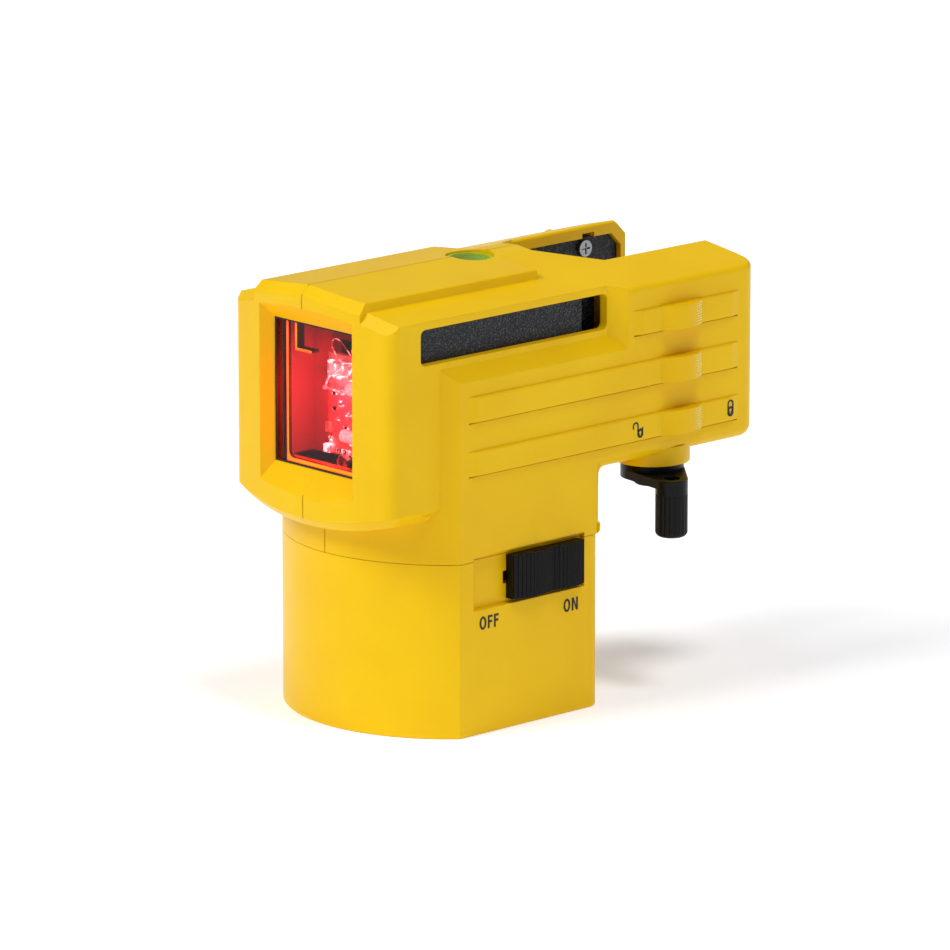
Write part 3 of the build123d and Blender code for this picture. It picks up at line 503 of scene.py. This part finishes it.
def add_block(shape, low, high, edge):
    """Adds a block between two corners in millimetres, with its edges rounded."""
    part = bmesh.new()
    bmesh.ops.create_cube(part, size=1.0)
    low, high = Vector(low) * MM, Vector(high) * MM
    for vert in part.verts:
        vert.co = Vector(((low[i] + high[i]) / 2 + vert.co[i] * (high[i] - low[i])) for i in range(3))
    bmesh.ops.bevel(part, geom=list(part.edges), offset=edge * MM, segments=2, profile=0.5, affect="EDGES")
    mesh = bpy.data.meshes.new("part")
    part.to_mesh(mesh)
    part.free()
    shape.from_mesh(mesh)
    bpy.data.meshes.remove(mesh)


# The rib takes the same finish of painted glow and painted shade.
rib = bmesh.new()
add_block(rib, (-14.25, -33.4, 83.3), (-13.55, -31.0, 89.6), 0.2)
add_block(rib, (-14.25, -33.4, 83.3), (-8.6, -31.0, 84.0), 0.2)
solid_piece("window_rib", rib, painted_glow_and_shade_abs, "housing")

# ---------------------------------------------------------------------------------------------
# The works behind the window: a pale baffle, and the levelling pendulum in its gimbal. The
# chassis, ring and carrier are die-cast alloy, and the bushes, barrels and weight turned brass.



def shaded_baffle():
    """Pale ABS that falls into shade towards its roof, with a 0.4 mm skin."""
    material, tree = new_material("moulded pale ABS")
    where = node(tree, "ShaderNodeTexCoord")
    skin = node(tree, "ShaderNodeTexNoise", {"Scale": 1 / (0.4 * MM), "Detail": 2.0}, {"Vector": (where, "Object")})
    tone = node(tree, "ShaderNodeMix", {"data_type": "RGBA"}, {"Factor": (skin, "Fac")})
    tone.inputs["A"].default_value = linear("#C9C3BE")
    tone.inputs["B"].default_value = linear("#D6D0CB")
    place = node(tree, "ShaderNodeSeparateXYZ", links={"Vector": (where, "Object")})
    height = node(tree, "ShaderNodeMapRange", {"From Min": 79 * MM, "From Max": 92 * MM}, {"Value": (place, "Z")})
    shade = node(tree, "ShaderNodeMix", {"data_type": "RGBA"}, {"Factor": (height, "Result"), "A": (tone, "Result")})
    shade.inputs["B"].default_value = linear("#5E5652")
    plastic = node(tree, "ShaderNodeBsdfPrincipled", {"Roughness": 0.5, "IOR": 1.53, "Specular IOR Level": 0.2},
                   {"Base Color": (shade, "Result")})
    node(tree, "ShaderNodeOutputMaterial", links={"Surface": (plastic, "BSDF")})
    return material


finish_nodes(shaded_baffle(), "baffle")
die_cast = metal("die-cast alloy", "#B9BBBD", "#8F9295", 0.6, (1.0, 1.0, 1.0), 0.45, 0.02)
finish_nodes(die_cast, "chassis", "gimbal_ring", "pendulum_carrier")
brass = metal("turned brass", "#D8B25C", "#A9802F", 0.2, (1.0, 6.0, 1.0), 0.28)
finish_nodes(brass, "outer_gimbal_bushes", "inner_gimbal_bushes", "upper_laser_barrel", "lower_laser_barrel",
             "pendulum_weight", "lever_bush")
finish_nodes(metal("rolled copper", "#D08A62", "#A8603C", 0.3, (1.0, 1.0, 0.1), 0.3), "damper_fin")
finish_nodes(metal("nickel plate", "#C9C6BE", "#A8A59E", 0.3, (1.0, 1.0, 1.0), 0.18), "damper_magnets")


def circuit_board(name, mask, copper):
    """Glass-epoxy board: solder mask over a lattice of copper tracks 0.4 mm wide, which show
    through as slightly lighter, slightly raised lines."""
    material, tree = new_material(name)
    where = node(tree, "ShaderNodeTexCoord")
    tracks = node(tree, "ShaderNodeTexVoronoi", {"Scale": 1 / (3.2 * MM), "distance": "CHEBYCHEV", "feature": "F1"},
                  {"Vector": (where, "Object")})
    edge = node(tree, "ShaderNodeMapRange", {"From Min": 0.42, "From Max": 0.46}, {"Value": (tracks, "Distance")})
    tone = node(tree, "ShaderNodeMix", {"data_type": "RGBA"}, {"Factor": (edge, "Result")})
    tone.inputs["A"].default_value = linear(mask)
    tone.inputs["B"].default_value = linear(copper)
    relief = node(tree, "ShaderNodeBump", {"Strength": 0.4, "Distance": 0.03 * MM}, {"Height": (edge, "Result")})
    board = node(tree, "ShaderNodeBsdfPrincipled", {"Roughness": 0.3, "IOR": 1.5},
                 {"Base Color": (tone, "Result"), "Normal": (relief, "Normal")})
    node(tree, "ShaderNodeOutputMaterial", links={"Surface": (board, "BSDF")})
    return material


finish_nodes(circuit_board("white solder mask", "#E6E2DC", "#F2EFEA"), "laser_board")
finish_nodes(circuit_board("green solder mask", "#0F4A26", "#1D6B3A"), "main_board", "switch_board")

# ---------------------------------------------------------------------------------------------
# The laser board's small parts, reflow soldered to its front: tin domes, a white connector, chip
# parts, a row of tinned pads and a bent wire that holds the ball lens.

board_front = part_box("laser_board")[0].y / MM


# Painted glare: glints of stray laser light put into these finishes as emission, not light from a lamp.
def painted_glare_finish(name, light, patch, dim, bright, metallic, gloss):
    """A finish that stray laser light plays over: patches of glare, as wide as patch in
    millimetres, between the dim and the bright strength. The glare is emission of a given strength,
    so it doesn't go out with the laser."""
    material, tree = new_material(name)
    where = node(tree, "ShaderNodeTexCoord")
    play = node(tree, "ShaderNodeTexNoise", {"Scale": 1 / (patch * MM), "Detail": 1.0}, {"Vector": (where, "Object")})
    glare = node(tree, "ShaderNodeMapRange", {"From Min": 0.5, "From Max": 0.6, "To Min": dim, "To Max": bright},
                 {"Value": (play, "Fac")})
    body = node(tree, "ShaderNodeBsdfPrincipled",
                {"Base Color": linear(light), "Metallic": metallic, "Roughness": gloss,
                 "Emission Color": linear("#FFF0EC")}, {"Emission Strength": (glare, "Result")})
    node(tree, "ShaderNodeOutputMaterial", links={"Surface": (body, "BSDF")})
    return material


# Tin, wire, nylon and tantalum carry the painted glare; the epoxy does not.
tin = painted_glare_finish("reflowed tin solder", "#DCDCDA", 0.55, 0.05, 7.0, 1.0, 0.15)
tin_wire = painted_glare_finish("tinned copper wire", "#DCDCDA", 1.5, 1.2, 5.0, 1.0, 0.2)
white_nylon = painted_glare_finish("moulded white nylon", "#F4F1EC", 1.6, 0.8, 8.0, 0.0, 0.4)
epoxy = moulded("moulded black epoxy", "#26262A", "#1B1B1E", 0.3, 0.01, 0.5, 0.05)
tantalum = painted_glare_finish("orange tantalum case", "#E8902A", 1.0, 0.2, 0.9, 0.0, 0.4)


def dome(shape, x, z, radius, height):
    """A solder dome whose skirt wets out flat onto the board."""
    rows = [(1.0, 0.0), (0.8, 0.12), (0.66, 0.35), (0.5, 0.68), (0.28, 0.92), (0.0, 1.0)]
    count = 20
    rings = []
    for share, lift in rows:
        y = (board_front - 0.01 - height * lift) * MM
        if share == 0.0:
            rings.append([shape.verts.new((x * MM, y, z * MM))])
            continue
        turns = [2 * math.pi * i / count for i in range(count)]
        rings.append([shape.verts.new(((x + radius * share * math.cos(t)) * MM, y,
                                       (z + radius * share * math.sin(t)) * MM)) for t in turns])
    for near, far in zip(rings, rings[1:]):
        for i in range(count):
            after = (i + 1) % count
            if len(far) == 1:
                shape.faces.new((near[i], near[after], far[0]))
            else:
                shape.faces.new((near[i], near[after], far[after], far[i]))
    shape.faces.new(rings[0])


domes = bmesh.new()
for x, z, radius in ((-5.9, 79.3, 0.75), (-3.3, 79.6, 0.6), (-6.3, 71.3, 0.9), (-3.9, 69.0, 0.9), (-9.7, 62.9, 0.85),
                     (-3.4, 62.8, 0.9), (5.6, 79.1, 0.75), (6.8, 72.0, 0.85), (5.0, 70.2, 0.8), (9.2, 63.2, 0.85),
                     (8.6, 67.4, 0.7), (-7.4, 67.6, 0.6), (3.8, 60.8, 0.7)):
    dome(domes, x, z, radius, 0.7 * radius + 0.25)
solid_piece("solder_domes", domes, tin, "pendulum", smooth=True)

connector = bmesh.new()
front = board_front - 0.02
for low, high in (((-8.7, front - 2.0, 77.4), (-8.1, front, 81.2)), ((-1.9, front - 2.0, 77.4), (-1.3, front, 81.2)),
                  ((-8.7, front - 2.0, 77.4), (-1.3, front, 77.9)), ((-8.7, front - 2.0, 80.7), (-1.3, front, 81.2)),
                  ((-10.9, front - 1.4, 59.7), (-8.9, front, 61.6)), ((6.2, front - 1.4, 64.2), (9.8, front, 66.0))):
    add_block(connector, low, high, 0.12)
solid_piece("board_connectors", connector, white_nylon, "pendulum")

pads = bmesh.new()
for i in range(6):
    x = -7.9 + 1.3 * i
    add_block(pads, (x, front - 0.25, 59.8), (x + 0.8, front, 60.9), 0.08)
for x, z in ((-8.9, 73.0), (-8.9, 69.6), (7.6, 75.4), (7.6, 61.0), (-5.2, 65.6)):
    add_block(pads, (x, front - 0.5, z), (x + 0.35, front, z + 0.8), 0.08)
    add_block(pads, (x + 1.15, front - 0.5, z), (x + 1.5, front, z + 0.8), 0.08)
solid_piece("tinned_pads", pads, tin, "pendulum")

chips = bmesh.new()
for x, z in ((-8.9, 73.0), (-8.9, 69.6), (7.6, 75.4), (7.6, 61.0), (-5.2, 65.6)):
    add_block(chips, (x + 0.3, front - 0.55, z), (x + 1.2, front, z + 0.8), 0.06)
add_block(chips, (4.2, front - 1.2, 73.4), (8.4, front, 76.8), 0.1)
solid_piece("board_chips", chips, epoxy, "pendulum")

case = bmesh.new()
add_block(case, (-10.3, front - 1.3, 64.4), (-9.0, front, 66.7), 0.1)
solid_piece("tantalum_case", case, tantalum, "pendulum")


def wire(name, points, radius, material, body):
    """A round wire along a smooth line through points in millimetres, as a mesh."""
    curve = bpy.data.curves.new(name, "CURVE")
    curve.dimensions = "3D"
    curve.bevel_depth = radius * MM
    curve.bevel_resolution = 4
    curve.use_fill_caps = True
    spline = curve.splines.new("NURBS")
    spline.points.add(len(points) - 1)
    for point, place in zip(spline.points, points):
        point.co = (*(Vector(place) * MM), 1)
    spline.order_u = 3
    spline.use_endpoint_u = True
    spline.resolution_u = 8
    source = mesh_object(name + "_line", curve)
    mesh = bpy.data.meshes.new_from_object(source.evaluated_get(bpy.context.evaluated_depsgraph_get()))
    bpy.data.objects.remove(source)
    mesh.name = name
    mesh.materials.clear()
    mesh.materials.append(material)
    mesh.shade_smooth()
    made = mesh_object(name, mesh)
    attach(made, body)
    return made


ball_y = board_front - 2.2
wire("lens_wire", [(-6.6, front, 79.0), (-7.4, ball_y, 78.6), (-9.2, ball_y, 75.4), (-9.3, ball_y, 74.9),
                   (-8.6, ball_y, 74.8), (-3.2, ball_y, 74.6), (-1.5, ball_y - 0.2, 75.0)],
     0.22, tin_wire, "pendulum")
knob = bmesh.new()
bmesh.ops.create_icosphere(knob, subdivisions=3, radius=0.55 * MM)
bmesh.ops.translate(knob, verts=knob.verts, vec=Vector((-9.3, ball_y, 74.9)) * MM)
inner_joint = Matrix.Translation(Vector((-3.6, ball_y, 74.6)) * MM) @ Matrix.Diagonal((1.3, 1, 1, 1))
bmesh.ops.create_icosphere(knob, subdivisions=3, radius=0.6 * MM, matrix=inner_joint)
solid_piece("lens_wire_joints", knob, tin_wire, "pendulum", smooth=True)

# The enamelled leads carry the same painted glare.
enamel = painted_glare_finish("enamelled copper wire", "#D9B0A0", 1.6, 0.1, 3.0, 1.0, 0.25)
wire("coil_lead_left", [(-7.6, front, 81.8), (-8.4, front - 1.6, 84.6), (-5.6, front - 2.2, 87.2),
                        (-3.2, front - 1.0, 84.4), (-2.4, front, 81.9)], 0.12, enamel, "pendulum")
wire("coil_lead_right", [(-1.4, front, 81.6), (-1.0, front - 2.4, 84.8), (2.2, front - 2.6, 86.0),
                         (4.6, front - 1.2, 83.6), (5.2, front, 81.5)], 0.12, enamel, "pendulum")


def turned_y(shape, x, y, z, profile, count=32):
    """Adds a turned part whose axis runs along Y: profile rows are (distance along Y, radius)."""
    rings = []
    for along, radius in profile:
        turns = [2 * math.pi * i / count for i in range(count)]
        rings.append([shape.verts.new(((x + radius * math.cos(t)) * MM, (y + along) * MM,
                                       (z + radius * math.sin(t)) * MM)) for t in turns])
    for near, far in zip(rings, rings[1:]):
        for i in range(count):
            after = (i + 1) % count
            shape.faces.new((near[i], near[after], far[after], far[i]))
    shape.faces.new(rings[0])
    shape.faces.new(rings[-1])


trim = bmesh.new()
turned_y(trim, -4.4, front, 58.3, [(0.0, 1.7), (-1.6, 1.7), (-1.8, 1.5), (-1.8, 0.8), (-1.0, 0.7), (-1.0, 0.05)])
solid_piece("trim_screw", trim, spring_steel, "pendulum")

# ---------------------------------------------------------------------------------------------
# The beam lenses: a glass ball on the upper barrel and a glass rod on the lower one. The laser is
# on, shown by a painted glow in both lenses: emission brightest where the glass faces the view,
# not light from a lamp.


def glass_with_painted_glow():
    """Ground optical glass with a painted glow for the scattered beam: a bright heart and a faint rim."""
    material, tree = new_material("optical glass with painted glow")
    where = node(tree, "ShaderNodeTexCoord")
    painted_glow_mottle = node(tree, "ShaderNodeTexNoise", {"Scale": 1 / (0.7 * MM), "Detail": 2.0}, {"Vector": (where, "Object")})
    facing = node(tree, "ShaderNodeLayerWeight", {"Blend": 0.35})
    heart = node(tree, "ShaderNodeMapRange", {"From Min": 0.2, "From Max": 0.9, "To Min": 9.0, "To Max": 0.6},
                 {"Value": (facing, "Facing")})
    uneven = node(tree, "ShaderNodeMath", {"operation": "MULTIPLY"}, {0: (heart, "Result"), 1: (painted_glow_mottle, "Fac")})
    glass = node(tree, "ShaderNodeBsdfPrincipled", {"Roughness": 0.08, "IOR": 1.5, "Base Color": linear("#E8D8D8"),
                                                    "Emission Color": linear("#FFD8D0")},
                 {"Emission Strength": (uneven, "Value")})
    node(tree, "ShaderNodeOutputMaterial", links={"Surface": (glass, "BSDF")})
    return material


finish_nodes(glass_with_painted_glow(), "upper_line_lens", "lower_line_lens")

glow = bpy.data.lights.new("laser_glow", "POINT")
glow.color = (1.0, 0.05, 0.08)
glow.energy = 0.015
glow.shadow_soft_size = 1.0 * MM
glow_object = mesh_object("laser_glow", glow)
glow_object.location = (-4.0 * MM, -34.0 * MM, 74.0 * MM)

# ---------------------------------------------------------------------------------------------
# The side windows: black ABS plates with a coarse spark-eroded grain sit behind the openings in
# the head, and the same plate lines the jaws. The grain's peaks are painted grey as a sparkle of
# light that they would catch.


def grained_abs():
    """Black ABS with a coarse spark grain 0.5 mm wide: dark pits, and shiny peaks painted grey as a sparkle of light.
    """
    material, tree = new_material("spark-grained black ABS with painted sparkle")
    where = node(tree, "ShaderNodeTexCoord")
    pits = node(tree, "ShaderNodeTexNoise", {"Scale": 1 / (0.42 * MM), "Detail": 2.0, "Roughness": 0.6},
                {"Vector": (where, "Object")})
    # The grey on the peaks is a painted sparkle, the same under any lamp.
    peaks = node(tree, "ShaderNodeMapRange", {"From Min": 0.5, "From Max": 0.74}, {"Value": (pits, "Fac")})
    tone = node(tree, "ShaderNodeMix", {"data_type": "RGBA"}, {"Factor": (peaks, "Result")})
    tone.inputs["A"].default_value = linear("#121419")
    tone.inputs["B"].default_value = linear("#5D626C")
    relief = node(tree, "ShaderNodeBump", {"Strength": 0.6, "Distance": 0.12 * MM}, {"Height": (pits, "Fac")})
    plastic = node(tree, "ShaderNodeBsdfPrincipled", {"Roughness": 0.5, "IOR": 1.53, "Specular IOR Level": 0.25},
                   {"Base Color": (tone, "Result"), "Normal": (relief, "Normal")})
    node(tree, "ShaderNodeOutputMaterial", links={"Surface": (plastic, "BSDF")})
    return material


grained = grained_abs()
finish_nodes(grained, "right_side_panel", "left_side_panel", "fixed_jaw_panel", "moving_jaw_pad")

# ---------------------------------------------------------------------------------------------
# The spirit level in the roof: a clear acrylic cup with green fluid under a clear cap. The bubble
# is a flat dome of air inside a printed ring.

finish_nodes(cast_acrylic("clear cast acrylic", "#FCFFD0", 0.04), "vial_lens")
vial_green = moulded("green vial fluid", "#E2F23C", "#CFE02C", 2.0, 0.0, 0.12, 0.1)
finish_nodes(vial_green, "vial_fluid")
finish_nodes(moulded("moulded green acrylic", "#A9C72A", "#93B320", 0.6, 0.004, 0.2, 0.2), "vial_body")

fluid_low, fluid_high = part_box("vial_fluid")
vial_middle = (fluid_low + fluid_high) / 2
on_fluid = Matrix.Translation((vial_middle.x, vial_middle.y, fluid_high.z + 0.04 * MM))
ring_outer, ring_inner = 2.75 * MM, 2.45 * MM
ring_loops = [ring_points(0, 0, ring_outer, ring_outer, 48), ring_points(0, 0, ring_inner, ring_inner, 48)]
level_ring = flat_shape("vial_ring", ring_loops, 0.04 * MM, on_fluid, ink)
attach(level_ring, "housing")

bubble_shape = bmesh.new()
bmesh.ops.create_uvsphere(bubble_shape, u_segments=40, v_segments=20, radius=1.9 * MM)
for vert in bubble_shape.verts:
    vert.co.z *= 0.02
bmesh.ops.translate(bubble_shape, verts=bubble_shape.verts, vec=on_fluid.translation)
bubble_mesh = bpy.data.meshes.new("vial_bubble")
bubble_shape.to_mesh(bubble_mesh)
bubble_mesh.materials.append(moulded("air bubble", "#D3EA7A", "#C2DE5E", 1.5, 0.0, 0.06, 0.05))
bubble_mesh.shade_smooth()
bubble = mesh_object("vial_bubble", bubble_mesh)
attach(bubble, "housing")

# ---------------------------------------------------------------------------------------------
# The power slider and the clamp lever: satin black nylon, which is a little waxy, with a fine
# skin that catches the light along every rib.

nylon = moulded("moulded black nylon", "#08090A", "#040505", 0.35, 0.014, 0.36, 0.15, 0.16)
finish_nodes(nylon, "power_slider", "clamp_lever", "lever_screw")
